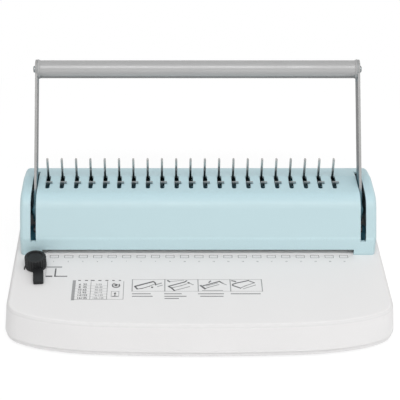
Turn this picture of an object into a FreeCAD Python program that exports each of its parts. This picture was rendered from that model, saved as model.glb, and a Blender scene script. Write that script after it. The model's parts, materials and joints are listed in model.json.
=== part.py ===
import FreeCAD, Part
import math
import os

# Plastic comb binding machine for A4 sheets, 21 rings.
# Working axes: X to the right, Y to the back, Z up.
# While the pieces are drawn, Y = 0 is the cover's front face and Z = 0 is the table.
# Each piece is moved as it is written, so that the origin lies on the desk
# under the middle of the whole machine at rest.

Vector = FreeCAD.Vector
X_AXIS = Vector(1, 0, 0)
Y_AXIS = Vector(0, 1, 0)
Z_AXIS = Vector(0, 0, 1)

# Hole pattern of a plastic comb
pitch = 14.2875
hole_count = 21
hole_width = 8.0
hole_depth = 3.0

# Running and seating clearances
run_gap = 0.3
pin_gap = 0.1
shaft_gap = 0.05

# Widths, counted outwards from the row of holes
punch_bar_overhang = 2.3
slider_cam_gap = 0.4
slider_cam_width = 2.0
rail_gap = 0.5
rail_width = 2.4
frame_thickness = 3.0
hub_gap = 2.75
arm_thickness = 2.4
arm_to_cover_end = 12.6
cover_to_table_edge = 5.9

# Paper throat and the plates around it
die_front_y = 7.2
die_thickness = 3.0
die_depth = 24.0
paper_gap = 2.2
guide_front_y = 5.0
guide_thickness = 3.0
pin_row_y = 12.0
paper_stop_y = 17.0
throat_height = 6.3
throat_overhang = 0.5
throat_spacer_width = 5.1
chute_front_y = 9.2
chute_rear_y = 20.0

# Cover
cover_wall = 2.5
cover_top_z = 53.8
crease_z = 20.0
front_lean = 33.2
front_bend_radius = 8.0
shoulder_radius = 20.6
rear_crease_y = 61.8
rear_bend_radius = 4.0
rear_slope = 14.0
rear_slope_length = 20.0
rear_radius = 37.3
cover_edge_radius = 3.8
cover_corner_radius = 30.0
arm_slot_inner_gap = 0.9
arm_slot_outer_gap = 2.1
arm_slot_bottom_z = 16.0
arm_slot_rear_y = 75.0
boss_radius = 3.6
boss_inset = 6.0

# Comb slots, fingers and hooks, half a pitch left of the holes
slot_width = 4.3
slot_offset = 0.4
slot_front_y = 38.2
comb_offset = -pitch / 2
finger_width = 2.2
finger_thickness = 2.0
finger_height = 21.5
finger_web_bottom_z = 31.0
finger_tab_length = 13.7
hook_y = 47.5
hook_sheet = 2.0
hook_stem_offset = 1.5
hook_stem_width = 2.7
hook_reach = 6.5
hook_bar_height = 1.6
hook_rise = 2.0
hook_travel = 9.0
slider_flange_z = 46.0
slider_flange_front_y = 37.0
slider_web_bottom_z = 35.0

# Main shaft, lever and handle
shaft_y = 32.2
shaft_z = 31.8
shaft_radius = 5.0
lever_lean = 37.8
lever_stroke = 130.0
lever_length = 142.4
arm_width = 16.0
arm_hub_radius = 11.0
arm_eye_radius = 9.7
tube_radius = 9.0
tube_wall = 1.5
plug_flange_radius = 10.1
plug_flange_thickness = 2.4
plug_depth = 22.0
screw_head_radius = 3.4
screw_head_height = 2.6
handle_screw_radius = 2.0
arm_square = 7.0
arm_screw_radius = 1.9
arm_screw_head_radius = 5.0
stop_pin_radius = 3.0
stop_pin_reach = 17.0

# Punch drive
punch_stroke = 7.0
punch_cam_low = 7.0
punch_cam_hub_radius = 6.6
punch_cam_width = 10.0
punch_cam_spacing = 112.0
slider_cam_near = 6.5
slider_cam_hub_radius = 6.2
cam_points = 25
punch_bar_front_y = 6.0
punch_bar_rear_y = 31.5
punch_bar_height = 9.0
punch_flange_height = 4.5
pin_tip_z = 3.2
pin_head_inset = 3.0
pin_notch = 0.8
post_radius = 3.0
post_x = 56.0
post_shaft_gap = 0.7
post_top_z = 36.0
spring_radius = 4.6
spring_wire_radius = 0.6
spring_turns = 5
spring_seat_gap = 0.05

# Base
table_height = 35.0
foot_height = 2.5
base_flare = 3.2
base_front_y = -113.7
base_rear_gap = 6.0
base_wall = 2.6
table_thickness = 3.0
pan_height = 5.5
pan_inset = 1.0
pan_thickness = 2.5
pan_wall = 2.2
table_edge_radius = 4.0
brow_radius = 286.6
shoulder_bow_radius = 101.0
corner_radius = 23.0
rear_corner_radius = 26.0
front_angle = 2.7
brow_angle = 13.6
shoulder_angle = 28.5
ledge_height = 3.0
ledge_width = 5.0
foot_radius = 9.0
foot_recess = 1.0

# Chip tray
tray_side_gap = 0.6
tray_wall = 1.8
tray_front_y = 3.0
tray_top_z = -10.5
tray_overhang = 5.0
tray_travel = 100.0
grip_radius = 14.0

# Knob that sets the sheet's left edge
knob_x_gap = 4.7
knob_y = -18.8
knob_radius = 10.5
knob_height = 11.8
knob_lift = 0.4
knob_flutes = 24
knob_flute_radius = 0.9
knob_dish_radius = 7.6
knob_dish_depth = 0.8
pointer_angle = 5.5
pointer_length = 29.8
pointer_width = 9.8
pointer_offset = 2.2
pointer_corner_radius = 1.5
pointer_height = 3.7
stem_radius = 4.0
stem_length = 12.0
clip_radius = 7.0
clip_thickness = 1.2

# Small fasteners
thread_radius = 1.5
small_head_radius = 2.8
small_head_height = 2.2

# Positions that follow from the sizes above
row_half = pitch * (hole_count - 1) / 2
punch_bar_half = row_half + hole_width / 2 + punch_bar_overhang
slider_cam_x = punch_bar_half + slider_cam_gap
rail_x = slider_cam_x + slider_cam_width + rail_gap
frame_x = rail_x + rail_width
arm_x = frame_x + frame_thickness + hub_gap
arm_outer_x = arm_x + arm_thickness
cover_half = arm_outer_x + arm_to_cover_end
table_half = cover_half + cover_to_table_edge
base_half = table_half + base_flare
die_half = frame_x - run_gap
throat_half = frame_x - throat_overhang
chute_half = punch_bar_half
tray_half = punch_bar_half + ledge_width / 2
knob_x = -(throat_half + knob_x_gap)

shell_bottom_z = -(table_height - pan_height)
floor_z = -(table_height + foot_height)
pan_bottom_z = -table_height
guide_bottom_z = paper_gap
guide_top_z = paper_gap + guide_thickness
finger_rear_y = rear_crease_y - 0.8
finger_front_y = finger_rear_y - finger_thickness
finger_top_z = cover_top_z + finger_height
hook_top_z = cover_top_z + hook_rise
post_y = shaft_y - shaft_radius - post_shaft_gap - post_radius
punch_bar_mid_y = post_y - spring_radius - spring_wire_radius - run_gap
punch_rate = punch_stroke / math.radians(lever_stroke)
hook_rate = hook_travel / math.radians(lever_stroke)
punch_bar_top_z = shaft_z - punch_cam_low - run_gap
punch_bar_bottom_z = punch_bar_top_z - punch_bar_height
punch_flange_bottom_z = punch_bar_top_z - punch_flange_height
leg_face_y = shaft_y - slider_cam_near - hook_travel - run_gap
hook_xs = [comb_offset - row_half + pitch * i for i in range(hole_count)]
hole_xs = [-row_half + pitch * i for i in range(hole_count)]
bar_y = shaft_y + lever_length * math.sin(math.radians(lever_lean))
bar_z = shaft_z + lever_length * math.cos(math.radians(lever_lean))
rear_extent_y = bar_y + plug_flange_radius
ORIGIN = Vector(0, -(base_front_y + rear_extent_y) / 2, -floor_z)


# Drawing helpers

def box(x0, x1, y0, y1, z0, z1):
    return Part.makeBox(x1 - x0, y1 - y0, z1 - z0, Vector(x0, y0, z0))


def rod_x(y, z, radius, x0, x1):
    return Part.makeCylinder(radius, x1 - x0, Vector(x0, y, z), X_AXIS)


def rod_z(x, y, radius, z0, z1):
    return Part.makeCylinder(radius, z1 - z0, Vector(x, y, z0), Z_AXIS)


def plate_x(points, x0, x1):
    """Flat plate between two X values, from a closed outline of (y, z) points."""
    corners = [Vector(x0, y, z) for y, z in points]
    face = Part.Face(Part.makePolygon(corners + corners[:1]))
    return face.extrude(Vector(x1 - x0, 0, 0))


def plate_z(points, z0, z1):
    """Flat plate between two heights, from a closed outline of (x, y) points."""
    corners = [Vector(x, y, z0) for x, y in points]
    face = Part.Face(Part.makePolygon(corners + corners[:1]))
    return face.extrude(Vector(0, 0, z1 - z0))


def mirrored(shape):
    return shape.mirror(Vector(0, 0, 0), X_AXIS)


def joined(first, *others):
    return first.fuse(list(others)).removeSplitter()


def without(body, *tools):
    return body.cut(list(tools))


def pan_screw_x(y, z, x_seat, direction, radius, head_radius, head_height, depth):
    """Screw along X whose domed head sits on x_seat and looks along direction."""
    axis = Vector(direction, 0, 0)
    seat = Vector(x_seat, y, z)
    shank = Part.makeCylinder(radius, depth, seat, axis * -1)
    head = Part.makeCylinder(head_radius, head_height, seat, axis)
    rim = [edge for edge in head.Edges if abs(edge.CenterOfMass.x - x_seat) > head_height * 0.9]
    head = head.makeFillet(head_height * 0.45, rim)
    return head.fuse(shank)


def pan_screw_z(x, y, z_seat, direction, depth):
    """Small screw along Z whose head sits on z_seat and looks along direction."""
    axis = Vector(0, 0, direction)
    seat = Vector(x, y, z_seat)
    shank = Part.makeCylinder(thread_radius, depth, seat, axis * -1)
    head = Part.makeCone(small_head_radius, small_head_radius * 0.6, small_head_height, seat, axis)
    return head.fuse(shank)


def save(name, *solids):
    """Write one node, moved from the working axes to the machine's origin."""
    moved = []
    for solid in solids:
        piece = solid.copy()
        piece.translate(ORIGIN)
        moved.append(piece)
    shape = moved[0] if len(moved) == 1 else Part.makeCompound(moved)
    shape.exportStep("parts/" + name + ".step")


# Base

def base_outline(inset, z):
    """Plan of the base: bowed front, round corners. The inset moves it inwards."""
    front = math.radians(front_angle)
    brow = math.radians(brow_angle)
    shoulder = math.radians(shoulder_angle)
    side_part = corner_radius * (1 - math.sin(shoulder))
    side_part += shoulder_bow_radius * (math.sin(shoulder) - math.sin(brow))
    side_part += brow_radius * (math.sin(brow) - math.sin(front))
    front_radius = (base_half - side_part) / math.sin(front)
    rear_y = base_rear_y

    def step(center, big, small, angle):
        return center + Vector(math.sin(angle), -math.cos(angle), 0) * (big - small)

    center_1 = Vector(0, base_front_y + front_radius, z)
    center_2 = step(center_1, front_radius, brow_radius, front)
    center_3 = step(center_2, brow_radius, shoulder_bow_radius, brow)
    center_4 = step(center_3, shoulder_bow_radius, corner_radius, shoulder)
    arcs = [
        (center_1, front_radius, 0.0, front),
        (center_2, brow_radius, front, brow),
        (center_3, shoulder_bow_radius, brow, shoulder),
        (center_4, corner_radius, shoulder, math.pi / 2),
    ]

    def on_arc(center, radius, angle, side):
        reach = radius - inset
        return Vector(side * (center.x + reach * math.sin(angle)), center.y - reach * math.cos(angle), z)

    def arc(center, radius, start, end, side):
        middle = (start + end) / 2
        return Part.Arc(on_arc(center, radius, start, side), on_arc(center, radius, middle, side),
                        on_arc(center, radius, end, side)).toShape()

    rear_center = Vector(base_half - rear_corner_radius, rear_y - rear_corner_radius, z)
    edges = [arc(*item, 1) for item in arcs]
    side_x = base_half - inset
    edges.append(Part.makeLine(Vector(side_x, center_4.y, z), Vector(side_x, rear_center.y, z)))
    edges.append(arc(rear_center, rear_corner_radius, math.pi / 2, math.pi, 1))
    back_y = rear_y - inset
    edges.append(Part.makeLine(Vector(rear_center.x, back_y, z), Vector(-rear_center.x, back_y, z)))
    edges.append(arc(rear_center, rear_corner_radius, math.pi, math.pi / 2, -1))
    edges.append(Part.makeLine(Vector(-side_x, rear_center.y, z), Vector(-side_x, center_4.y, z)))
    for center, radius, start, end in reversed(arcs):
        edges.append(arc(center, radius, end, start, -1))
    return Part.Wire(edges)


def base_block(inset, z0, z1):
    """Solid between two heights that follows the flared outside wall."""
    slope = base_flare / -shell_bottom_z
    low = base_outline(inset + slope * (z0 - shell_bottom_z), z0)
    high = base_outline(inset + slope * (z1 - shell_bottom_z), z1)
    return Part.makeLoft([low, high], True, True)


def foot_places():
    front_y = base_front_y + 34.0
    rear_y = base_rear_y - 26.0
    side_x = base_half - 34.0
    return [(side, y) for y in (front_y, rear_y) for side in (-side_x, side_x)]


def bottom_screw_places():
    front_y = base_front_y + 24.0
    middle_y = base_rear_y - 60.0
    return [(-118.0, front_y), (0.0, base_front_y + 18.0), (118.0, front_y),
            (-(tray_half + 17.0), middle_y), (tray_half + 17.0, middle_y)]


def cover_screw_places():
    x = cover_half - boss_inset
    return [(side * x, y) for side in (-1, 1) for y in (boss_inset + 4.0, cover_rear_y - cover_corner_radius - 2.0)]


def plate_screw_places():
    side_x = die_half - throat_spacer_width / 2
    rear_y = (paper_stop_y + die_front_y + die_depth) / 2 + 3.0
    return [(-side_x, 11.0), (side_x, 11.0)] + [(x, rear_y) for x in (-100.0, -18.0, 18.0, 100.0)]


def make_base_shell():
    shell = base_block(0, shell_bottom_z, 0)
    top_edges = [edge for edge in shell.Edges if edge.BoundBox.ZMin > -0.01]
    shell = shell.makeFillet(table_edge_radius, top_edges)
    shell = without(shell, base_block(base_wall, shell_bottom_z - 1.0, -table_thickness))
    ledge = box(-die_half - ledge_width, die_half + ledge_width, die_front_y - ledge_width,
                die_front_y + die_depth + ledge_width, -table_thickness - ledge_height, -table_thickness)
    posts = [rod_z(x, y, boss_radius, shell_bottom_z, -table_thickness) for x, y in bottom_screw_places()]
    ribs = []
    for x in (-118.0, 0.0, 118.0):
        ribs.append(box(x - 0.9, x + 0.9, base_front_y + 12.0, die_front_y - ledge_width, -16.0, -table_thickness))
    rails = []
    for side in (-1, 1):
        inner = side * (tray_half + tray_side_gap)
        outer = inner + side * 1.8
        rails.append(box(min(inner, outer), max(inner, outer), tray_front_y, base_rear_y - 8.0,
                         shell_bottom_z, -table_thickness))
    inside = base_block(base_wall / 2, shell_bottom_z - 1.0, -table_thickness / 2)
    ribs = [rib.common(inside) for rib in ribs]
    shell = joined(shell, ledge, *posts, *ribs, *rails)
    recess = box(-die_half - pin_gap, die_half + pin_gap, die_front_y - pin_gap,
                 die_front_y + die_depth + pin_gap, -die_thickness, 1.0)
    chute = box(-chute_half, chute_half, chute_front_y, chute_rear_y, -10.0, 0.0)
    tray_door = box(-tray_half - tray_side_gap, tray_half + tray_side_gap, base_rear_y - 20.0,
                    base_rear_y + 1.0, shell_bottom_z - 1.0, tray_top_z + 1.0)
    knob_hole = rod_z(knob_x, knob_y, stem_radius + shaft_gap, -5.0, 1.0)
    holes = [rod_z(x, y, thread_radius, shell_bottom_z - 1.0, shell_bottom_z + 14.0)
             for x, y in bottom_screw_places()]
    holes += [rod_z(x, y, thread_radius, -table_thickness - 1.0, 1.0) for x, y in cover_screw_places()]
    holes += [rod_z(x, y, thread_radius, -9.0, 0.0) for x, y in plate_screw_places()]
    holes += [rod_z(x, y, thread_radius, -9.0, 1.0) for x, y in frame_foot_places()]
    return without(shell, recess, chute, tray_door, knob_hole, *holes)


def make_bottom_plate():
    low = base_outline(pan_inset, pan_bottom_z)
    pan = Part.Face(low).extrude(Vector(0, 0, pan_height))
    rim = [edge for edge in pan.Edges if edge.BoundBox.ZMax < pan_bottom_z + 0.01]
    pan = pan.makeFillet(1.5, rim)
    hollow = Part.Face(base_outline(pan_inset + pan_wall, pan_bottom_z + pan_thickness))
    hollow = hollow.extrude(Vector(0, 0, pan_height))
    door = box(-tray_half - tray_side_gap, tray_half + tray_side_gap, base_rear_y - 20.0,
               base_rear_y + 1.0, pan_bottom_z + pan_thickness, 0.0)
    recesses = [rod_z(x, y, foot_radius, pan_bottom_z - 1.0, pan_bottom_z + foot_recess)
                for x, y in foot_places()]
    holes = []
    for x, y in bottom_screw_places():
        holes.append(rod_z(x, y, thread_radius + pin_gap, pan_bottom_z - 1.0, pan_bottom_z + pan_height))
    return without(pan, hollow, door, *recesses, *holes)


def make_rubber_feet():
    feet = []
    for x, y in foot_places():
        foot = rod_z(x, y, foot_radius, floor_z, pan_bottom_z + foot_recess)
        feet.append(foot.makeChamfer(0.6, [edge for edge in foot.Edges if edge.BoundBox.ZMax < floor_z + 0.01]))
    return feet


def make_bottom_screws():
    return [pan_screw_z(x, y, pan_bottom_z, -1, 12.0) for x, y in bottom_screw_places()]


# Cover

def cover_profile(inset, x, z_end):
    """Side outline of the cover as a face at x. The inset moves it inwards."""
    heading = math.pi / 2
    point = Vector(x, inset, z_end)
    edges = []

    def straight(length):
        nonlocal point
        end = point + Vector(0, math.cos(heading), math.sin(heading)) * length
        edges.append(Part.makeLine(point, end))
        point = end

    def bend(radius, angle):
        nonlocal point, heading
        reach = radius - inset
        side = Vector(0, math.sin(heading), -math.cos(heading))
        center = point + side * reach

        def at(turned):
            back = heading - turned
            return center + Vector(0, -math.sin(back), math.cos(back)) * reach

        edges.append(Part.Arc(point, at(angle / 2), at(angle)).toShape())
        point = at(angle)
        heading -= angle

    lean = math.radians(front_lean)
    slope = math.radians(rear_slope)
    bend_start_z = crease_z - front_bend_radius * math.tan(lean / 2)
    straight(bend_start_z - z_end)
    bend(front_bend_radius, lean)
    shoulder_start_z = cover_top_z - shoulder_radius * (1 - math.sin(lean))
    straight((shoulder_start_z - point.z - inset * math.sin(lean)) / math.cos(lean))
    bend(shoulder_radius, math.pi / 2 - lean)
    straight(rear_crease_y - rear_bend_radius * math.tan(slope / 2) - point.y)
    bend(rear_bend_radius, slope)
    straight(rear_slope_length - rear_bend_radius * math.tan(slope / 2))
    bend(rear_radius, math.pi / 2 - slope)
    straight(point.z - z_end)
    edges.append(Part.makeLine(point, Vector(x, inset, z_end)))
    return Part.Face(Part.Wire(edges))


def cover_plan(inset):
    """Plan of the cover, with its rounder rear corners."""
    half = cover_half - inset
    plan = box(-half, half, inset, cover_rear_y - inset, -1.0, cover_top_z + 1.0)
    corners = [edge for edge in plan.Edges
               if edge.BoundBox.ZLength > cover_top_z and edge.CenterOfMass.y > cover_rear_y / 2]
    return plan.makeFillet(cover_corner_radius - inset, corners)


def comb_slot(x):
    radius = slot_width / 2
    rear = rear_crease_y - radius
    front = slot_front_y + radius
    z0 = cover_top_z - cover_wall - 3.0
    z1 = cover_top_z + 2.0
    return joined(box(x - radius, x + radius, front, rear, z0, z1),
                  rod_z(x, front, radius, z0, z1), rod_z(x, rear, radius, z0, z1))


def make_top_cover():
    outside = cover_profile(0, -cover_half, 0).extrude(Vector(2 * cover_half, 0, 0))
    ends = [edge for edge in outside.Edges if edge.BoundBox.XLength < 0.01 and edge.BoundBox.ZMax > 0.01]
    outside = outside.makeFillet(cover_edge_radius, ends).common(cover_plan(0))
    inner_half = cover_half - cover_wall
    inside = cover_profile(cover_wall, -inner_half, -1.0).extrude(Vector(2 * inner_half, 0, 0))
    inside = inside.common(cover_plan(cover_wall))
    shell = outside.cut(inside)
    bosses = [rod_z(x, y, boss_radius, 0, 24.0) for x, y in cover_screw_places()]
    bosses = [boss.common(outside) for boss in bosses]
    shell = joined(shell, *bosses)
    cuts = [box(-throat_half, throat_half, -1.0, cover_wall + 1.0, -1.0, throat_height)]
    for side in (-1, 1):
        near = arm_x - arm_slot_inner_gap
        far = arm_outer_x + arm_slot_outer_gap
        slot = box(near, far, -1.0, arm_slot_rear_y, arm_slot_bottom_z, cover_top_z + 1.0)
        cuts.append(slot if side > 0 else mirrored(slot))
    cuts += [comb_slot(x + slot_offset) for x in hook_xs]
    cuts += [rod_z(x, y, thread_radius, -1.0, 14.0) for x, y in cover_screw_places()]
    return without(shell, *cuts)


def make_cover_screws():
    return [pan_screw_z(x, y, -table_thickness, -1, 14.0) for x, y in cover_screw_places()]


# Throat plates

def die_hole(x, z0, z1, clearance):
    half = hole_width / 2 + clearance
    deep = hole_depth / 2 + clearance
    return box(x - half, x + half, pin_row_y - deep, pin_row_y + deep, z0, z1)


def plate_screw_holes(z0, z1):
    return [rod_z(x, y, thread_radius + pin_gap, z0, z1) for x, y in plate_screw_places()]


def make_die_plate():
    plate = box(-die_half, die_half, die_front_y, die_front_y + die_depth, -die_thickness, 0)
    plate = plate.makeChamfer(0.5, [edge for edge in plate.Edges if edge.BoundBox.ZMin > -0.01
                                    and edge.BoundBox.YMax < die_front_y + 0.01])
    holes = [die_hole(x, -die_thickness - 1.0, 1.0, pin_gap / 2) for x in hole_xs]
    return without(plate, *holes, *plate_screw_holes(-die_thickness - 1.0, 1.0))


def make_guide_plate():
    rear = die_front_y + die_depth
    outline = [(guide_front_y, guide_top_z), (guide_front_y, guide_bottom_z + 1.6),
               (guide_front_y + 1.6, guide_bottom_z), (rear, guide_bottom_z), (rear, guide_top_z)]
    plate = plate_x(outline, -die_half, die_half)
    holes = [die_hole(x, guide_bottom_z - 1.0, guide_top_z + 1.0, pin_gap / 2) for x in hole_xs]
    posts = [rod_z(side * post_x, post_y, post_radius, guide_bottom_z - 1.0, guide_top_z + 1.0) for side in (-1, 1)]
    return without(plate, *holes, *posts, *plate_screw_holes(guide_bottom_z - 1.0, guide_top_z + 1.0))


def make_throat_spacer():
    spacer = box(die_half - throat_spacer_width, die_half, guide_front_y, paper_stop_y, 0, guide_bottom_z)
    return without(spacer, *plate_screw_holes(-1.0, guide_bottom_z + 1.0))


def make_paper_stop():
    strip = box(-die_half, die_half, paper_stop_y, die_front_y + die_depth, 0, guide_bottom_z)
    return without(strip, *plate_screw_holes(-1.0, guide_bottom_z + 1.0))


def make_plate_screws():
    return [pan_screw_z(x, y, guide_top_z, 1, guide_top_z + die_thickness + 4.0) for x, y in plate_screw_places()]


# Frame

def frame_foot_places():
    return [(side * (frame_x - 6.0), y) for side in (-1, 1) for y in (50.0, 84.0)]


def tie_rod_places():
    return [(88.0, 30.0), (50.0, 12.0)]


def make_frame_plate():
    outline = [(5.0, 0.0), (5.0, 20.0), (15.0, 34.0), (24.0, 45.0), (36.0, 48.5), (62.0, 48.5),
               (82.0, 43.0), (98.0, 28.0), (98.0, 0.0)]
    plate = plate_x(outline, frame_x, frame_x + frame_thickness)
    foot = box(frame_x - 12.0, frame_x + 1.0, 44.0, 92.0, 0, 2.0)
    window = plate_x([(58.0, 12.0), (58.0, 26.0), (72.0, 26.0), (80.0, 18.0), (80.0, 12.0)], frame_x - 1, frame_x + 4)
    cuts = [window, rod_x(shaft_y, shaft_z, shaft_radius + 3.0, frame_x - 1, frame_x + 5)]
    cuts += [rod_x(y, z, 3.0, frame_x - 1, frame_x + 5) for y, z in tie_rod_places()]
    cuts += [rod_x(y, z, stop_pin_radius, frame_x - 1, frame_x + 5) for y, z in stop_pin_places()]
    cuts += [rod_x(y, z, thread_radius, frame_x - 1, frame_x + 5) for y, z in frame_screw_places()]
    cuts += [rod_z(x, y, thread_radius + pin_gap, -1, 3) for x, y in frame_foot_places()]
    return without(joined(plate, foot), *cuts)


def stop_pin_places():
    """Behind the arm at rest, and under it at the end of the stroke."""
    places = []
    reach = arm_width / 2 + run_gap + stop_pin_radius
    rest = math.radians(90 - lever_lean)
    end = rest + math.radians(lever_stroke)
    for angle, side in ((rest, -1), (end, 1)):
        along_y = math.cos(angle)
        along_z = math.sin(angle)
        places.append((shaft_y + stop_pin_reach * along_y - side * reach * along_z,
                       shaft_z + stop_pin_reach * along_z + side * reach * along_y))
    return places


def make_stop_pins():
    pins = []
    for y, z in stop_pin_places():
        pin = rod_x(y, z, stop_pin_radius, frame_x, arm_outer_x)
        pins += [pin, mirrored(pin)]
    return pins


def frame_screw_places():
    """Screws of the comb plate's tabs and of the slider rails, seen from the side."""
    tab_y = finger_rear_y + finger_tab_length - 5.0
    rail_z = slider_flange_z - rail_width
    return [(tab_y, finger_web_bottom_z + 4.0), (tab_y, finger_web_bottom_z + 11.0),
            (43.0, rail_z), (55.0, rail_z)]


def make_frame_screws():
    seat = frame_x + frame_thickness
    screws = []
    for y, z in frame_screw_places():
        screw = pan_screw_x(y, z, seat, 1, thread_radius, small_head_radius * 0.8, 1.4, frame_thickness + 1.6)
        screws += [screw, mirrored(screw)]
    screws += [pan_screw_z(x, y, 2.0, 1, 7.0) for x, y in frame_foot_places()]
    return screws


def make_tie_rods():
    rods = []
    for y, z in tie_rod_places():
        rod = rod_x(y, z, 4.0, -frame_x, frame_x)
        rods.append(joined(rod, rod_x(y, z, 3.0, -frame_x - frame_thickness - 1.5, frame_x + frame_thickness + 1.5)))
    return rods


def make_shaft_bush():
    collar = rod_x(shaft_y, shaft_z, shaft_radius + 3.0, frame_x - 1.5, frame_x + frame_thickness)
    flange = rod_x(shaft_y, shaft_z, shaft_radius + 4.5, frame_x + frame_thickness, arm_x - run_gap)
    bore = rod_x(shaft_y, shaft_z, shaft_radius + shaft_gap, frame_x - 5, arm_x + 5)
    return joined(collar, flange).cut(bore)


def make_slider_rail():
    top = slider_flange_z - run_gap / 2
    rail = box(rail_x, frame_x, slider_flange_front_y - 3.0, finger_front_y - 0.4, top - 4.4, top)
    return without(rail, *[rod_x(y, z, thread_radius, rail_x - 1, frame_x + 1) for y, z in frame_screw_places()])


# Comb fingers and hooks

def make_comb_finger_plate():
    top = cover_top_z - cover_wall - 1.0
    web = box(-frame_x, frame_x, finger_front_y, finger_rear_y, finger_web_bottom_z, top)
    tabs = []
    for side in (-1, 1):
        outer = side * frame_x
        inner = side * (frame_x - finger_thickness)
        tabs.append(box(min(outer, inner), max(outer, inner), finger_rear_y - finger_thickness,
                        finger_rear_y + finger_tab_length, finger_web_bottom_z, top - 5.0))
    fingers = []
    for x in hook_xs:
        half = finger_width / 2
        tip = finger_top_z - half
        finger = box(x - half, x + half, finger_front_y, finger_rear_y, top - 1.0, tip)
        cap = Part.makeCylinder(half, finger_thickness, Vector(x, finger_front_y, tip), Y_AXIS)
        fingers.append(finger.fuse(cap))
    windows = []
    for x in hook_xs[1:]:
        middle = x - pitch / 2
        windows.append(box(middle - 3.0, middle + 3.0, finger_front_y - 1, finger_rear_y + 1,
                           finger_web_bottom_z + 5.0, finger_web_bottom_z + 10.0))
    plate = joined(web, *tabs, *fingers)
    holes = [rod_x(y, z, thread_radius, -frame_x - 1, frame_x + 1) for y, z in frame_screw_places()[:2]]
    return without(plate, *windows, *holes)


def slider_leg():
    """Side leg that reaches round the shaft to the front, where the slider cam pushes it."""
    lean = math.radians(front_lean)
    along = Vector(0, math.sin(lean), math.cos(lean))
    inward = Vector(0, math.cos(lean), -math.sin(lean))
    corner = Vector(0, 0, crease_z)

    def on_slope(distance, depth):
        point = corner + along * distance + inward * depth
        return (point.y, point.z)

    outer = cover_wall + 1.1
    inner = outer + 3.0
    outline = [(leg_face_y - 4.0, 22.0), on_slope(10.5, outer), on_slope(27.5, outer), (24.0, 47.0),
               (27.0, slider_flange_z + hook_sheet), (hook_y, slider_flange_z + hook_sheet),
               (hook_y, slider_flange_z - 2.0), (28.5, slider_flange_z - 2.0), on_slope(28.0, inner),
               on_slope(15.0, inner), (leg_face_y, 28.8), (leg_face_y, 22.0)]
    return plate_x(outline, slider_cam_x, slider_cam_x + slider_cam_width)


def make_hook_slider():
    rear = hook_y + hook_sheet / 2
    front = hook_y - hook_sheet / 2
    web_top = cover_top_z - cover_wall - 1.0
    web_half = slider_cam_x + slider_cam_width
    web = box(-web_half, web_half, front, rear, slider_web_bottom_z, web_top)
    flange_half = frame_x - run_gap
    flange = box(-flange_half, flange_half, slider_flange_front_y, rear, slider_flange_z,
                 slider_flange_z + hook_sheet)
    hooks = []
    for x in hook_xs:
        left = x - hook_stem_offset
        hooks.append(box(left, left + hook_stem_width, front, rear, web_top - 1.0, hook_top_z))
        hooks.append(box(left, left + hook_reach, front, rear, hook_top_z - hook_bar_height, hook_top_z))
    windows = []
    for x in hook_xs[1:]:
        middle = x - pitch / 2
        windows.append(box(middle - 3.5, middle + 3.5, front - 1, rear + 1,
                           slider_web_bottom_z + 3.0, slider_flange_z - 2.5))
    leg = slider_leg()
    body = joined(web, flange, leg, mirrored(leg), *hooks)
    return without(body, *windows)


# Lever

def leaned(shape):
    """Turn a piece drawn upright above the shaft into its resting lean."""
    turned = shape.copy()
    turned.rotate(Vector(0, shaft_y, shaft_z), X_AXIS, -lever_lean)
    return turned


def make_lever_arm():
    end_z = shaft_z + lever_length
    half = arm_width / 2
    shank = box(arm_x, arm_outer_x, shaft_y - half, shaft_y + half, shaft_z, end_z)
    hub = rod_x(shaft_y, shaft_z, arm_hub_radius, arm_x, arm_outer_x)
    eye = rod_x(shaft_y, end_z, arm_eye_radius, arm_x, arm_outer_x)
    arm = joined(shank, hub, eye)
    square = arm_square / 2
    socket = box(arm_x - 1, arm_outer_x + 1, shaft_y - square, shaft_y + square, shaft_z - square, shaft_z + square)
    hole = rod_x(shaft_y, end_z, handle_screw_radius, arm_x - 1, arm_outer_x + 1)
    return leaned(without(arm, socket, hole))


def make_handle_tube():
    length = arm_x - plug_flange_thickness
    tube = rod_x(bar_y, bar_z, tube_radius, -length, length)
    return tube.cut(rod_x(bar_y, bar_z, tube_radius - tube_wall, -length - 1, length + 1))


def make_handle_plug():
    start = arm_x - plug_flange_thickness
    collar = Part.makeCone(tube_radius, plug_flange_radius, plug_flange_thickness,
                           Vector(start, bar_y, bar_z), X_AXIS)
    body = rod_x(bar_y, bar_z, tube_radius - tube_wall, start - plug_depth, start)
    bore = rod_x(bar_y, bar_z, handle_screw_radius, start - plug_depth - 1, arm_x + 1)
    return joined(collar, body).cut(bore)


def make_handle_screws():
    screw = pan_screw_x(bar_y, bar_z, arm_outer_x, 1, handle_screw_radius, screw_head_radius,
                        screw_head_height, arm_thickness + 14.0)
    slot = box(arm_outer_x + screw_head_height - 0.9, arm_outer_x + screw_head_height + 1,
               bar_y - screw_head_radius * 0.6, bar_y + screw_head_radius * 0.6, bar_z - 0.4, bar_z + 0.4)
    cross = box(arm_outer_x + screw_head_height - 0.9, arm_outer_x + screw_head_height + 1,
                bar_y - 0.4, bar_y + 0.4, bar_z - screw_head_radius * 0.6, bar_z + screw_head_radius * 0.6)
    screw = without(screw, slot, cross)
    return [screw, mirrored(screw)]


def make_main_shaft():
    shaft = rod_x(shaft_y, shaft_z, shaft_radius, -arm_x, arm_x)
    square = arm_square / 2
    ends = box(-arm_outer_x, arm_outer_x, shaft_y - square, shaft_y + square, shaft_z - square, shaft_z + square)
    ends = leaned(ends).common(rod_x(shaft_y, shaft_z, shaft_radius, -arm_outer_x, arm_outer_x))
    holes = [rod_x(shaft_y, shaft_z, arm_screw_radius, -arm_outer_x - 1, -arm_outer_x + 12.0),
             rod_x(shaft_y, shaft_z, arm_screw_radius, arm_outer_x - 12.0, arm_outer_x + 1)]
    return without(joined(shaft, ends), *holes)


def make_arm_screws():
    screw = pan_screw_x(shaft_y, shaft_z, arm_outer_x, 1, arm_screw_radius, arm_screw_head_radius, 2.6, 11.0)
    return [screw, mirrored(screw)]


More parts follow.
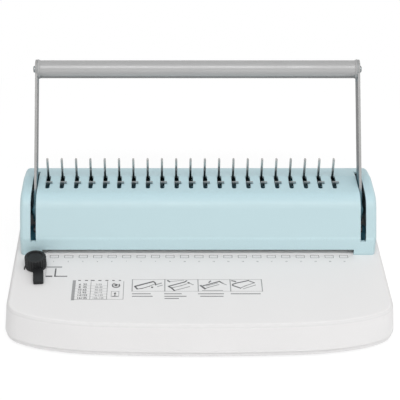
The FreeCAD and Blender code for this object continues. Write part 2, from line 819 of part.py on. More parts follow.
def cam_curve(x, offset_of, turns):
    """Involute of the drive circle: the contact face moves by the same step per degree."""
    points = []
    for turn in turns:
        y, z = offset_of(turn)
        cos = math.cos(-turn)
        sin = math.sin(-turn)
        points.append(Vector(x, shaft_y + y * cos - z * sin, shaft_z + y * sin + z * cos))
    curve = Part.BSplineCurve()
    curve.interpolate(points)
    return curve.toShape(), points[0], points[-1]


def spread(first, last, count):
    return [first + (last - first) * i / (count - 1) for i in range(count)]


def cam_disc(x, width, lobe, lobe_start, lobe_end, hub_radius):
    """Lobe closed through the shaft's centre, joined to its round hub."""
    center = Vector(x, shaft_y, shaft_z)
    wire = Part.Wire([Part.makeLine(center, lobe_start), lobe, Part.makeLine(lobe_end, center)])
    sector = Part.Face(wire).extrude(Vector(width, 0, 0))
    hub = rod_x(shaft_y, shaft_z, hub_radius, x, x + width)
    return joined(hub, sector).cut(rod_x(shaft_y, shaft_z, shaft_radius, x - 1, x + width + 1))


def make_punch_cam(x):
    full = math.radians(lever_stroke)
    start = -(punch_cam_low - math.sqrt(punch_cam_hub_radius ** 2 - punch_rate ** 2)) / punch_rate

    def offset(turn):
        return (-punch_rate, -(punch_cam_low + punch_rate * turn))

    lobe, first, last = cam_curve(x, offset, spread(start, full, cam_points))
    return cam_disc(x, punch_cam_width, lobe, first, last, punch_cam_hub_radius)


def make_slider_cam():
    far = slider_cam_near + hook_travel
    end = (far - math.sqrt(slider_cam_hub_radius ** 2 - hook_rate ** 2)) / hook_rate

    def offset(turn):
        return (-(far - hook_rate * turn), -hook_rate)

    lobe, first, last = cam_curve(slider_cam_x, offset, spread(0.0, end, cam_points))
    return cam_disc(slider_cam_x, slider_cam_width, lobe, first, last, slider_cam_hub_radius)


# Punch

def make_punch_bar():
    outline = [(punch_bar_front_y, punch_bar_bottom_z), (punch_bar_front_y, punch_bar_top_z - 2.0),
               (punch_bar_front_y + 2.0, punch_bar_top_z), (punch_bar_rear_y, punch_bar_top_z),
               (punch_bar_rear_y, punch_flange_bottom_z), (punch_bar_mid_y, punch_flange_bottom_z),
               (punch_bar_mid_y, punch_bar_bottom_z)]
    bar = plate_x(outline, -punch_bar_half, punch_bar_half)
    pockets = [die_hole(x, punch_bar_bottom_z - 1.0, punch_bar_top_z - pin_head_inset, 0) for x in hole_xs]
    bores = [rod_z(side * post_x, post_y, post_radius + shaft_gap, punch_bar_bottom_z - 1, punch_bar_top_z + 1)
             for side in (-1, 1)]
    return without(bar, *pockets, *bores)


def make_punch_pins():
    half = hole_width / 2
    deep = hole_depth / 2
    top = punch_bar_top_z - pin_head_inset
    pins = []
    for x in hole_xs:
        outline = [(x - half, pin_tip_z), (x - half, top), (x + half, top), (x + half, pin_tip_z),
                   (x, pin_tip_z + pin_notch)]
        corners = [Vector(px, pin_row_y - deep, pz) for px, pz in outline]
        face = Part.Face(Part.makePolygon(corners + corners[:1]))
        pins.append(face.extrude(Vector(0, hole_depth, 0)))
    return pins


def make_punch_post(side):
    post = rod_z(side * post_x, post_y, post_radius, guide_bottom_z, post_top_z)
    return post.makeChamfer(0.6, [edge for edge in post.Edges if edge.BoundBox.ZMin > post_top_z - 0.01])


def arc_under(start, corner, end):
    """Arc from start to end that leaves and arrives along the lines through corner."""
    middle = (start + end) / 2
    rise = corner - middle
    half_chord = (end - start).Length / 2
    sagitta = half_chord * math.tan(math.atan2(rise.Length, half_chord) / 2)
    return Part.Arc(start, middle + rise * (sagitta / rise.Length), end).toShape()


def biarc(start, start_way, end, end_way):
    """Two arcs in one smooth line, with the given directions at both ends."""
    chord = end - start
    bend = 2 * (1 - start_way.dot(end_way))
    along = 2 * chord.dot(start_way + end_way)
    reach = (math.sqrt(along ** 2 + 4 * bend * chord.dot(chord)) - along) / (2 * bend)
    first_corner = start + start_way * reach
    last_corner = end - end_way * reach
    joint = (first_corner + last_corner) / 2
    return [arc_under(start, first_corner, joint), arc_under(joint, last_corner, end)]


def make_punch_spring(side):
    """Wound spring: one unbroken tube on quarter-turn biarcs round the guide post."""
    bottom = guide_top_z + spring_wire_radius + spring_seat_gap
    top = punch_flange_bottom_z - spring_wire_radius - spring_seat_gap
    climb = (top - bottom) / (2 * math.pi * spring_turns)

    def at(turn):
        return Vector(side * post_x + spring_radius * math.cos(turn),
                      post_y + spring_radius * math.sin(turn), bottom + climb * turn)

    def way(turn):
        return Vector(-spring_radius * math.sin(turn), spring_radius * math.cos(turn), climb).normalize()

    quarter = math.pi / 2
    edges = []
    for i in range(4 * spring_turns):
        edges += biarc(at(i * quarter), way(i * quarter), at((i + 1) * quarter), way((i + 1) * quarter))
    section = Part.Wire(Part.Circle(at(0), way(0), spring_wire_radius).toShape())
    return Part.Wire(edges).makePipeShell([section], True, False)


# Knob

def make_guide_knob():
    z0 = knob_lift
    z1 = knob_lift + knob_height
    body = rod_z(knob_x, knob_y, knob_radius, z0, z1)
    body = body.makeFillet(1.0, [edge for edge in body.Edges if edge.BoundBox.ZMin > z1 - 0.01])
    pointer_left = knob_x + pointer_offset - pointer_width / 2
    pointer = box(pointer_left, pointer_left + pointer_width, knob_y - pointer_length, knob_y, z0, z0 + pointer_height)
    end_corners = [edge for edge in pointer.Edges if edge.BoundBox.XLength < 0.01
                   and edge.BoundBox.YMax < knob_y - pointer_length + 0.01]
    pointer = pointer.makeFillet(pointer_corner_radius, end_corners)
    pointer.rotate(Vector(knob_x, knob_y, z0), Z_AXIS, pointer_angle)
    grooves = []
    for i in range(knob_flutes):
        angle = 2 * math.pi * i / knob_flutes
        reach = knob_radius + knob_flute_radius * 0.4
        grooves.append(rod_z(knob_x + reach * math.cos(angle), knob_y + reach * math.sin(angle),
                             knob_flute_radius, z0 + 2.4, z1 + 1))
    dish = rod_z(knob_x, knob_y, knob_dish_radius, z1 - knob_dish_depth, z1 + 1)
    fluted = without(body, dish, *grooves)
    ledge = rod_z(knob_x, knob_y, knob_radius - 0.6, z0, z0 + pointer_height)
    hole = rod_z(knob_x, knob_y, thread_radius, z0 - 1, z0 + 6.0)
    return joined(fluted, ledge, pointer).cut(hole)


def make_guide_stem():
    stem = rod_z(knob_x, knob_y, stem_radius, -stem_length, knob_lift)
    return stem.cut(rod_z(knob_x, knob_y, thread_radius, -stem_length - 1, knob_lift + 1))


def make_stem_clip():
    top = -table_thickness - run_gap
    clip = rod_z(knob_x, knob_y, clip_radius, top - clip_thickness, top)
    gap = box(knob_x - 1.5, knob_x + 1.5, knob_y, knob_y + clip_radius + 1, top - clip_thickness - 1, top + 1)
    return without(clip, rod_z(knob_x, knob_y, stem_radius, top - 5, top + 1), gap)


def make_knob_screw():
    return pan_screw_z(knob_x, knob_y, -stem_length, -1, stem_length + knob_lift + 5.0)


# Chip tray

def make_chip_tray():
    floor = pan_bottom_z + pan_thickness + run_gap
    front = tray_front_y + 1.0
    rear = base_rear_y - tray_overhang
    trough = box(-tray_half, tray_half, front, rear, floor, tray_top_z)
    hollow = box(-tray_half + tray_wall, tray_half - tray_wall, front + tray_wall, rear - tray_wall,
                 floor + tray_wall, 0)
    face = base_block(0, shell_bottom_z + 0.2, -1.0)
    window = box(-tray_half, tray_half, rear - 1.0, base_rear_y + 1.0, shell_bottom_z + 0.2, tray_top_z + 0.6)
    face = face.common(window)
    grip = rod_z(0, base_rear_y, grip_radius, shell_bottom_z, shell_bottom_z + 7.0)
    return joined(trough.cut(hollow), face).cut(grip)


def rear_of_cover():
    return cover_profile(0, 0, 0).BoundBox.YMax


cover_rear_y = rear_of_cover()
base_rear_y = cover_rear_y + base_rear_gap + base_flare


def main():
    os.makedirs("parts", exist_ok=True)
    save("base_shell", make_base_shell())
    save("bottom_plate", make_bottom_plate())
    save("rubber_feet", *make_rubber_feet())
    save("bottom_screws", *make_bottom_screws())
    save("top_cover", make_top_cover())
    save("cover_screws", *make_cover_screws())
    save("die_plate", make_die_plate())
    save("guide_plate", make_guide_plate())
    save("paper_stop", make_paper_stop())
    save("plate_screws", *make_plate_screws())
    save("comb_finger_plate", make_comb_finger_plate())
    save("tie_rods", *make_tie_rods())
    save("lever_stop_pins", *make_stop_pins())
    save("frame_screws", *make_frame_screws())
    sided = {
        "throat_spacer": make_throat_spacer(),
        "frame_plate": make_frame_plate(),
        "shaft_bush": make_shaft_bush(),
        "slider_rail": make_slider_rail(),
        "lever_arm": make_lever_arm(),
        "handle_plug": make_handle_plug(),
        "slider_cam": make_slider_cam(),
    }
    for name, right in sided.items():
        save(name + "_right", right)
        save(name + "_left", mirrored(right))
    save("handle_tube", make_handle_tube())
    save("handle_screws", *make_handle_screws())
    save("main_shaft", make_main_shaft())
    save("arm_screws", *make_arm_screws())
    for name, center in (("left", -punch_cam_spacing), ("middle", 0.0), ("right", punch_cam_spacing)):
        save("punch_cam_" + name, make_punch_cam(center - punch_cam_width / 2))
    save("punch_bar", make_punch_bar())
    save("punch_pins", *make_punch_pins())
    for name, side in (("left", -1), ("right", 1)):
        save("punch_post_" + name, make_punch_post(side))
        save("punch_spring_" + name, make_punch_spring(side))
    save("hook_slider", make_hook_slider())
    save("guide_knob", make_guide_knob())
    save("guide_stem", make_guide_stem())
    save("stem_clip", make_stem_clip())
    save("knob_screw", make_knob_screw())
    save("chip_tray", make_chip_tray())

    def shown(point):
        moved = point + ORIGIN
        return [round(value / 1000, 5) for value in (moved.x, moved.y, moved.z)]

    coil_gap = (punch_flange_bottom_z - guide_top_z) / spring_turns - 2 * spring_wire_radius
    print("least gap between spring coils, mm:", round(coil_gap, 2))
    print("lever axis:", shown(Vector(0, shaft_y, shaft_z)))
    print("punch bar at:", shown(Vector(0, pin_row_y, punch_bar_bottom_z)))
    print("hook slider at:", shown(Vector(0, hook_y, slider_flange_z)))
    print("knob axis:", shown(Vector(knob_x, knob_y, 0)))
    print("chip tray at:", shown(Vector(0, tray_front_y, pan_bottom_z + pan_thickness)))
    print("spring foot:", shown(Vector(0, 0, guide_top_z)))


main()
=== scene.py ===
"""Looks of the comb binding machine: materials, table print, return springs, studio and camera."""

import json
import math

import bmesh
import bpy
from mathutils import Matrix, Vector


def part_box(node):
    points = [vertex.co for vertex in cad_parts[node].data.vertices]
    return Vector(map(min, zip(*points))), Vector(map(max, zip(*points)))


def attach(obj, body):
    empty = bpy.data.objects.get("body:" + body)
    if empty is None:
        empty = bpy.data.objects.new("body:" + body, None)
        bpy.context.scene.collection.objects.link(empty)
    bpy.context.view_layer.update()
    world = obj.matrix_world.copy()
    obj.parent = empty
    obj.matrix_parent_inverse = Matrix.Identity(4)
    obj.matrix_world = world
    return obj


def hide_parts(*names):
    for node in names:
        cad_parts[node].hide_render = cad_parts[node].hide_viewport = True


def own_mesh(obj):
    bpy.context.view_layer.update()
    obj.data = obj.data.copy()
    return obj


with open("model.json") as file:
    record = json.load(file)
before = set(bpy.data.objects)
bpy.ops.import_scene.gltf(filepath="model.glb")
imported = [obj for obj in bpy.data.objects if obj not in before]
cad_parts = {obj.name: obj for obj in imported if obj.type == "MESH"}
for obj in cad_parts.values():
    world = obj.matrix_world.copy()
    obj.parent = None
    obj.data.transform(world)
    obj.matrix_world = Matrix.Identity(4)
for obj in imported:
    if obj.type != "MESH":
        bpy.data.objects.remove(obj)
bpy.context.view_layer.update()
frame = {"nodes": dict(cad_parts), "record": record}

MM = 0.001

# Where the cover stands, and the row just before its front edge from which the table print is placed
COVER_LOW, COVER_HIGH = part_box("top_cover")
TABLE_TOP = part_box("base_shell")[1].z
MARK_ROW = COVER_LOW.y - 2.5 * MM

# The comb's holes in an A4 sheet are 9/16 inch apart, here in millimetres like all of the table print
HOLES = 21
PITCH = 14.2875

# Camera, worked out from the photograph. The picture is cropped off centre, hence the shift.
PICTURE_PIXELS = 400
LENS_PIXELS = 1190
SHIFT_PIXELS = 34.65
CAMERA_ANGLE = 2 * math.atan(PICTURE_PIXELS / 2 / LENS_PIXELS)
CAMERA_SHIFT = SHIFT_PIXELS / PICTURE_PIXELS
CAMERA_PLACE = (-32.3 * MM, MARK_ROW - 954.0 * MM, TABLE_TOP + 689.5 * MM)
CAMERA_DOWN = math.radians(33.14)

# Soft light from all round, and rectangular lamps, each by its place, width, height and power
WORLD_LIGHT = 0.54
LAMP_TARGET = (0.0, 0.0, 0.05)
LAMPS = {
    "strip": ((0.0, -0.85, 1.62), 1.4, 0.3, 14.0),
    "front": ((0.0, -2.0, 0.45), 1.6, 0.6, 4.9),
    "right": ((1.6, -0.3, 0.7), 0.8, 0.8, 4.6),
}

# The floor lies a hair under the feet. Near the machine it shows its shadow over an even glow, and
# further away it turns to plain white.
FLOOR_SIZE = 12.0
FLOOR_DROP = 0.05 * MM
FLOOR_NEAR = 0.27
FLOOR_FAR = 0.5
FLOOR_PALE = (0.8, 0.8, 0.8)
FLOOR_SHADOWED = (0.2, 0.2, 0.2, 1.0)
FLOOR_GLOW = 0.84
PLAIN_WHITE = (1.0, 1.0, 1.0, 1.0)

# Tones inside the cover, whose pale blue tints the little light that reaches there
DEEP = (0.05, 0.15, 0.19, 1.0)
SHADED_TABLE = (0.15, 0.50, 0.66, 1.0)

# Painted light on the cover's top, which is lighter than its slope
PAINTED_LIGHT_COVER_TOP = (0.51, 0.71, 0.77, 1.0)

# The tube's grey where the arms and plugs shade it
TUBE_SHADE = (0.25, 0.25, 0.25, 1.0)

# The way that the bar's lower front looks, where a painted dark stripe of shade runs in a band of
# painted light
BAR_UNDERSIDE = (0.0, -0.5, -0.866)

# How far into the cover's mouth the table is seen and its painted shade reaches, and how softly that
# shade ends there
MOUTH_DEPTH = 50 * MM
MOUTH_FADE = 5 * MM

# The table's white, as it shows through the starved spots of the ink
BARE_TABLE = 0.8


# Shader nodes

def add_node(tree, kind, *sources, sockets=None, **settings):
    """A shader node with its settings, its constants by socket, and its sources linked in turn."""
    made = tree.nodes.new("ShaderNode" + kind)
    for key, value in settings.items():
        setattr(made, key, value)
    for key, value in (sockets or {}).items():
        made.inputs[key].default_value = value
    for source, socket in zip(sources, made.inputs):
        tree.links.new(source, socket)
    return made


def seen_by_eye(tree):
    """One for camera rays and for rays that a gloss or glass sends back to the camera."""
    path = add_node(tree, "LightPath").outputs
    seen = path["Is Camera Ray"]
    for sent_back in (path["Is Glossy Ray"], path["Is Transmission Ray"]):
        seen = add_node(tree, "Math", seen, sent_back, operation="MAXIMUM").outputs["Value"]
    return seen


class Surface:
    """One material on the Principled shader. Its patterns lie in object coordinates, in metres."""

    # Sockets of a colour mix, which share their names with others
    MIX_FIRST = 6
    MIX_SECOND = 7
    MIX_RESULT = 2

    def __init__(self, name, colour, roughness, metallic=0.0):
        self.material = bpy.data.materials.new(name)
        self.material.use_nodes = True
        self.tree = self.material.node_tree
        self.shader = self.tree.nodes["Principled BSDF"]
        self.shader.inputs["Metallic"].default_value = metallic
        self.shader.inputs["Roughness"].default_value = roughness
        self.colour = (*colour, 1.0)
        self.shader.inputs["Base Color"].default_value = self.colour
        coordinates = self.node("TexCoord").outputs
        self.place = coordinates["Object"]
        self.normal = coordinates["Normal"]

    def node(self, kind, *sources, **constants):
        return add_node(self.tree, kind, *sources, **constants)

    def link(self, source, target):
        self.tree.links.new(source, target)

    def stretched(self, scale):
        """Object coordinates scaled by axis, so that a noise runs along the lines of a brush."""
        return self.node("Mapping", self.place, sockets={"Scale": scale}).outputs["Vector"]

    def noise(self, scale, detail=2.0, roughness=0.5, place=None):
        """A cloudy pattern between zero and one, finer as the scale grows."""
        sockets = {"Scale": scale, "Detail": detail, "Roughness": roughness}
        return self.node("TexNoise", place or self.place, sockets=sockets).outputs["Fac"]

    def ranged(self, value, low, high, start=0.3, end=0.7):
        """Low where the value is at start, high where it is at end, and in proportion between."""
        sockets = {"From Min": start, "From Max": end, "To Min": low, "To Max": high}
        return self.node("MapRange", value, sockets=sockets).outputs["Result"]

    def rising(self, value, start=0.3, end=0.7, most=1.0):
        """A factor that grows from zero where the value is at start to most where it is at end."""
        return self.ranged(value, 0.0, most, start, end)

    def product(self, first, *others):
        for other in others:
            first = self.node("Math", first, other, operation="MULTIPLY").outputs["Value"]
        return first

    def absolute(self, value):
        return self.node("Math", value, operation="ABSOLUTE").outputs["Value"]

    def mixed(self, factor, first, second):
        """The first colour where the factor is zero, the second where it is one."""
        made = self.node("Mix", factor, data_type="RGBA")
        for socket, colour in ((self.MIX_FIRST, first), (self.MIX_SECOND, second)):
            if isinstance(colour, tuple):
                made.inputs[socket].default_value = colour
            else:
                self.link(colour, made.inputs[socket])
        return made.outputs[self.MIX_RESULT]

    def shade(self, amount):
        """The surface's own colour, darker below one and lighter above."""
        return (*(channel * amount for channel in self.colour[:3]), 1.0)

    def enclosed(self, tone, inner, reach, closed=0.3, free=0.7):
        """The tone in the open, and the inner one where faces within the reach close it in."""
        openness = self.node("AmbientOcclusion", sockets={"Distance": reach}, samples=6).outputs["AO"]
        return self.mixed(self.rising(openness, closed, free), inner, tone)

    def facing(self, axis):
        """How far a face looks along an axis, from -1 to 1."""
        return self.node("SeparateXYZ", self.normal).outputs[axis]

    def turned_to(self, way, start, end):
        """A factor that grows as a face turns towards a way."""
        turned = self.node("VectorMath", self.normal, sockets={1: way}, operation="DOT_PRODUCT")
        return self.rising(turned.outputs["Value"], start, end)

    def sideways(self):
        """A factor that grows as a face turns to look along X, to either side."""
        return self.rising(self.absolute(self.facing("X")), 0.4, 0.9)

    def slanted(self):
        """One on faces that look halfway up, such as a rounded rim, zero on flats and walls."""
        up = self.facing("Z")
        return self.product(self.rising(up, 0.2, 0.4), self.rising(up, 0.97, 0.85))

    def colour_from(self, tone):
        self.link(tone, self.shader.inputs["Base Color"])

    def roughness_from(self, pattern, low, high):
        self.link(self.ranged(pattern, low, high), self.shader.inputs["Roughness"])

    def rounded_edges(self, radius):
        return self.node("Bevel", sockets={"Radius": radius}, samples=4).outputs["Normal"]

    def bump(self, pattern, height, strength, under):
        """Raises a pattern on the surface that lies under it."""
        made = self.node("Bump", sockets={"Strength": strength, "Distance": height})
        self.link(pattern, made.inputs["Height"])
        self.link(under, made.inputs["Normal"])
        self.link(made.outputs["Normal"], self.shader.inputs["Normal"])
        return made.outputs["Normal"]


# Materials

def moulded_plastic(name, colour, roughness, grain=0.5 * MM, grain_height=0.05 * MM, corner_darkening=0.9,
                    gloss=0.5, is_table=False, is_cover=False):
    """Spark-eroded plastic: fine grain, a faint long wave, slightly uneven gloss, darker in its
    corners.
    """
    look = Surface(name, colour, roughness)
    look.shader.inputs["Specular IOR Level"].default_value = gloss
    fine = look.noise(1 / grain, detail=3.0, roughness=0.6)
    wave = look.noise(14.0)
    tone = look.mixed(look.rising(wave), look.shade(0.975), look.colour)
    # Painted light and shade on the cover, by the way its faces turn
    if is_cover:
        tone = cover_by_side(look, tone)
    tone = look.mixed(look.rising(fine, 0.35, 0.75), tone, look.shade(1.015))
    # Darker where other faces stand within 3 mm
    tone = look.enclosed(tone, look.shade(corner_darkening), reach=3 * MM, closed=0.25, free=1.0)
    # Painted light and shade on the table, by place
    if is_table:
        tone = table_by_place(look, tone)
    look.colour_from(tone)
    look.roughness_from(look.noise(60.0, detail=4.0), roughness - 0.05, roughness + 0.06)
    waved = look.bump(wave, 0.25 * MM, strength=0.25, under=look.rounded_edges(0.5 * MM))
    look.bump(fine, grain_height, strength=0.6, under=waved)
    return look.material


def cover_by_side(look, slope):
    """Painted light on the cover's upright front and top, lighter than its slope; a little painted
    shade on its ends.
    """
    upright = look.rising(look.facing("Y"), -0.88, -0.97)
    level = look.rising(look.facing("Z"), 0.68, 0.95)
    front = look.mixed(upright, slope, look.shade(1.2))
    sides = look.mixed(look.sideways(), front, look.shade(0.95))
    return look.mixed(level, sides, PAINTED_LIGHT_COVER_TOP)


def table_by_place(look, table):
    """Painted shade on the table's rim, painted light on the strip under the cover's lip, and painted
    blue shade on the rest inside.
    """
    with_rim_shade = look.mixed(look.slanted(), table, look.shade(0.88))
    with_lit_strip = look.mixed(behind_lip(look, -1 * MM, 1 * MM), with_rim_shade, look.shade(1.22))
    return look.mixed(behind_lip(look, 12 * MM, 18 * MM), with_lit_strip, SHADED_TABLE)


def behind_lip(look, start, end):
    """A factor on the table top inside the cover, where light and shade are painted. It grows from
    start to end, behind the lip.
    """
    place = look.node("SeparateXYZ", look.place).outputs
    rear = COVER_LOW.y + MOUTH_DEPTH
    return look.product(
        look.rising(place["Y"], COVER_LOW.y + start, COVER_LOW.y + end),
        look.rising(look.absolute(place["X"]), COVER_HIGH.x - 1 * MM, COVER_HIGH.x - 2 * MM),
        look.rising(place["Y"], rear + MOUTH_FADE, rear),
        look.rising(place["Z"], TABLE_TOP - 1 * MM, TABLE_TOP - 0.5 * MM),
    )


def brushed_metal(name, colour, roughness, along="X", metallic=1.0, gap=None):
    """Metal with brush lines along one axis and small stains, unlit where it stands in a gap."""
    look = Surface(name, colour, roughness, metallic)
    along_scale = 30.0
    across_scale = 2600.0
    stretch = tuple(along_scale if axis == along else across_scale for axis in "XYZ")
    lines = look.noise(1.0, detail=3.0, roughness=0.65, place=look.stretched(stretch))
    stains = look.noise(45.0, detail=5.0, roughness=0.6)
    tone = look.mixed(look.rising(lines), look.shade(0.88), look.shade(1.12))
    tone = look.mixed(look.rising(stains, 0.5, 0.8, most=0.35), tone, look.shade(0.8))
    if gap:
        tone = look.enclosed(tone, DEEP, reach=gap)
    look.colour_from(tone)
    look.roughness_from(stains, roughness - 0.04, roughness + 0.1)
    look.bump(lines, 0.02 * MM, strength=0.5, under=look.rounded_edges(0.25 * MM))
    return look.material


def plated_metal(name, colour, roughness):
    """Zinc-plated steel: a faint cell pattern, cloudy gloss, unlit where it stands in a gap."""
    look = Surface(name, colour, roughness, metallic=1.0)
    cells = look.node("TexVoronoi", look.place, sockets={"Scale": 700.0}).outputs["Distance"]
    clouds = look.noise(120.0, detail=4.0, roughness=0.6)
    tone = look.mixed(look.rising(cells, 0.1, 0.7), look.shade(0.86), look.shade(1.08))
    tone = look.mixed(look.rising(clouds, most=0.5), tone, look.shade(0.9))
    look.colour_from(look.enclosed(tone, DEEP, reach=40 * MM))
    look.roughness_from(clouds, roughness - 0.08, roughness + 0.1)
    look.bump(clouds, 0.02 * MM, strength=0.4, under=look.rounded_edges(0.2 * MM))
    return look.material


def satin_paint(name, colour, roughness, metallic, inner, flank_shade=1.0, is_bar=False):
    """Sprayed paint: orange peel, a little flake, one tone of painted shade for the flanks and one for
    gaps.
    """
    look = Surface(name, colour, roughness, metallic)
    peel = look.noise(900.0)
    flake = look.noise(5200.0, detail=1.0)
    clouds = look.noise(35.0, detail=3.0)
    tone = look.mixed(look.rising(flake, 0.35, 0.65), look.shade(0.95), look.shade(1.06))
    tone = look.mixed(look.rising(clouds, most=0.3), tone, look.shade(0.93))
    # Painted light and shade round the bar, by the way its faces turn
    if is_bar:
        tone = bar_by_side(look, tone)
    # Painted shade on the faces that look along X
    tone = look.mixed(look.sideways(), tone, look.shade(flank_shade))
    look.colour_from(look.enclosed(tone, inner, reach=30 * MM, closed=0.55, free=0.85))
    look.roughness_from(clouds, roughness - 0.03, roughness + 0.05)
    look.bump(peel, 0.02 * MM, strength=0.5, under=look.rounded_edges(0.4 * MM))
    return look.material


def bar_by_side(look, tone):
    """Painted light round the bar's lower front, with a painted dark stripe of shade in the middle of
    that band.
    """
    banded = look.mixed(look.turned_to(BAR_UNDERSIDE, 0.5, 0.7), tone, look.shade(1.16))
    return look.mixed(look.turned_to(BAR_UNDERSIDE, 0.77, 0.88), banded, look.shade(0.55))


def rubber(name, colour):
    """Matt rubber with a coarse grain."""
    look = Surface(name, colour, 0.75)
    grain = look.noise(1600.0, detail=3.0)
    look.colour_from(look.mixed(look.rising(grain), look.shade(0.8), look.shade(1.5)))
    look.roughness_from(grain, 0.66, 0.85)
    look.bump(grain, 0.05 * MM, strength=0.6, under=look.rounded_edges(0.4 * MM))
    return look.material


def printing_ink(name, colour):
    """Pad-printed ink with small starved spots, where less than half of it is left."""
    look = Surface(name, colour, 0.5)
    ink_left = 0.45
    starved = (*(ink_left * channel + (1 - ink_left) * BARE_TABLE for channel in colour), 1.0)
    spots = look.noise(3000.0, detail=3.0)
    look.colour_from(look.mixed(look.rising(spots, 0.5, 0.75, most=0.5), look.colour, starved))
    look.roughness_from(spots, 0.42, 0.6)
    return look.material


WHITE = moulded_plastic("white_plastic", (0.791, 0.783, 0.782), 0.46, is_table=True)
BLUE = moulded_plastic("pale_blue_plastic", (0.465, 0.615, 0.65), 0.44, corner_darkening=0.85, is_cover=True)
BLACK_PLASTIC = moulded_plastic("black_plastic", (0.014, 0.015, 0.016), 0.42,
                                grain=0.4 * MM, grain_height=0.06 * MM, corner_darkening=0.6, gloss=0.3)
GREY_PLASTIC = moulded_plastic("grey_plastic", (0.30, 0.31, 0.31), 0.5, corner_darkening=0.8)
BRIGHT_STEEL = brushed_metal("ground_steel", (0.72, 0.72, 0.71), 0.4, metallic=0.4)
INNER_STEEL = brushed_metal("inner_steel", (0.60, 0.595, 0.58), 0.32, gap=80 * MM)
FINGER_STEEL = brushed_metal("finger_steel", (0.50, 0.49, 0.48), 0.16, along="Z", gap=14 * MM)
HOOK_STEEL = brushed_metal("hook_steel", (0.30, 0.33, 0.34), 0.3, metallic=0.8, gap=14 * MM)
SPRING_STEEL = brushed_metal("spring_wire", (0.36, 0.36, 0.37), 0.34, along="Z")
BLACK_OXIDE = brushed_metal("black_oxide", (0.05, 0.055, 0.06), 0.5, metallic=0.3)
BRASS = brushed_metal("turned_brass", (0.72, 0.53, 0.26), 0.3, gap=40 * MM)
ZINC = plated_metal("zinc_plate", (0.62, 0.62, 0.60), 0.36)
DARK_ZINC = plated_metal("dark_zinc", (0.30, 0.30, 0.30), 0.3)
# The arms carry painted shade on their flanks and in gaps
ARM_PAINT = satin_paint("arm_paint", (0.325, 0.323, 0.32), 0.45, 0.1, DEEP, flank_shade=0.42)
TUBE_PAINT = satin_paint("tube_paint", (0.38, 0.38, 0.38), 0.38, 0.15, TUBE_SHADE, is_bar=True)
RUBBER = rubber("black_rubber", (0.022, 0.022, 0.023))
INK = printing_ink("print_ink", (0.10, 0.10, 0.105))
PALE_INK = printing_ink("pale_print_ink", (0.32, 0.32, 0.325))

BY_SLOT = {
    "white_plastic": WHITE,
    "pale_blue_plastic": BLUE,
    "black_rubber": RUBBER,
    "zinc_plated_steel": ZINC,
    "polished_steel": INNER_STEEL,
    "painted_arm_steel": ARM_PAINT,
    "silver_painted_tube": TUBE_PAINT,
    "black_plastic": BLACK_PLASTIC,
    "grey_plastic": GREY_PLASTIC,
    "brass_bush": BRASS,
    "spring_steel": SPRING_STEEL,
}
BY_NODE = {
    "die_plate": BRIGHT_STEEL,
    "guide_plate": BRIGHT_STEEL,
    "paper_stop": BRIGHT_STEEL,
    "comb_finger_plate": FINGER_STEEL,
    "hook_slider": HOOK_STEEL,
    "handle_screws": DARK_ZINC,
    "lever_stop_pins": BLACK_OXIDE,
}


def dress_cad_nodes():
    slots = {entry["node"]: entry["material_slot"] for entry in frame["record"]["subparts"]}
    for name, piece in frame["nodes"].items():
        piece.data.materials.clear()
        piece.data.materials.append(BY_NODE.get(name) or BY_SLOT[slots[name]])


# Objects and meshes

def add_object(name, data):
    made = bpy.data.objects.new(name, data)
    bpy.context.scene.collection.objects.link(made)
    return made


def add_piece(name, mesh, material):
    """A piece of the machine that rides on its base."""
    mesh.materials.clear()
    mesh.materials.append(material)
    piece = add_object(name, mesh)
    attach(piece, "base")
    return piece


def mesh_from(curve, place=(0.0, 0.0, 0.0)):
    """Turns a curve or a text at a place into a mesh, and removes the curve."""
    holder = add_object(curve.name, curve)
    holder.location = place
    bpy.context.view_layer.update()
    mesh = bpy.data.meshes.new_from_object(holder)
    mesh.transform(holder.matrix_world)
    bpy.data.objects.remove(holder)
    bpy.data.curves.remove(curve)
    return mesh


# Table print: thin flat shapes just above the table top, in millimetres from the row of marks

class Print:
    """Collects flat shapes and becomes one mesh that rides on the base."""

    # How much a number's outline is thickened
    BOLDNESS = 0.1

    def __init__(self, name, material, height):
        self.name = name
        self.material = material
        self.z = TABLE_TOP + height * MM
        self.mesh = bmesh.new()

    def place(self, x, y):
        return (x * MM, MARK_ROW + y * MM, self.z)

    def shape(self, points):
        self.mesh.faces.new([self.mesh.verts.new(self.place(x, y)) for x, y in points])

    def stroke(self, points, width):
        """A line of even width through the points, with square ends."""
        for (x0, y0), (x1, y1) in zip(points, points[1:]):
            along = Vector((x1 - x0, y1 - y0)).normalized() * (width / 2)
            side = Vector((-along.y, along.x))
            start = Vector((x0, y0)) - along
            end = Vector((x1, y1)) + along
            self.shape([start + side, start - side, end - side, end + side])

    def outline(self, x0, x1, y0, y1, width):
        """The four sides of a rectangle."""
        for y in (y0, y1):
            self.stroke([(x0, y), (x1, y)], width)
        for x in (x0, x1):
            self.stroke([(x, y0), (x, y1)], width)

    def arc(self, x, y, radius, start, end, width, steps=16):
        """A bow round a centre, from one angle to another in degrees."""
        angles = [math.radians(start + (end - start) * i / steps) for i in range(steps + 1)]
        points = [(x + radius * math.cos(angle), y + radius * math.sin(angle)) for angle in angles]
        self.stroke(points, width)

    def number(self, value, x, y, size):
        """A plain number, centred on the place."""
        curve = bpy.data.curves.new("number", "FONT")
        curve.body = str(value)
        curve.size = size * MM
        curve.offset = self.BOLDNESS * MM
        curve.align_x = "CENTER"
        curve.align_y = "CENTER"
        flat = mesh_from(curve, self.place(x, y))
        self.mesh.from_mesh(flat)
        bpy.data.meshes.remove(flat)

    def finish(self):
        self.mesh.normal_update()
        for face in self.mesh.faces:
            if face.normal.z < 0:
                face.normal_flip()
        data = bpy.data.meshes.new(self.name)
        self.mesh.to_mesh(data)
        self.mesh.free()
        piece = add_piece(self.name, data, self.material)


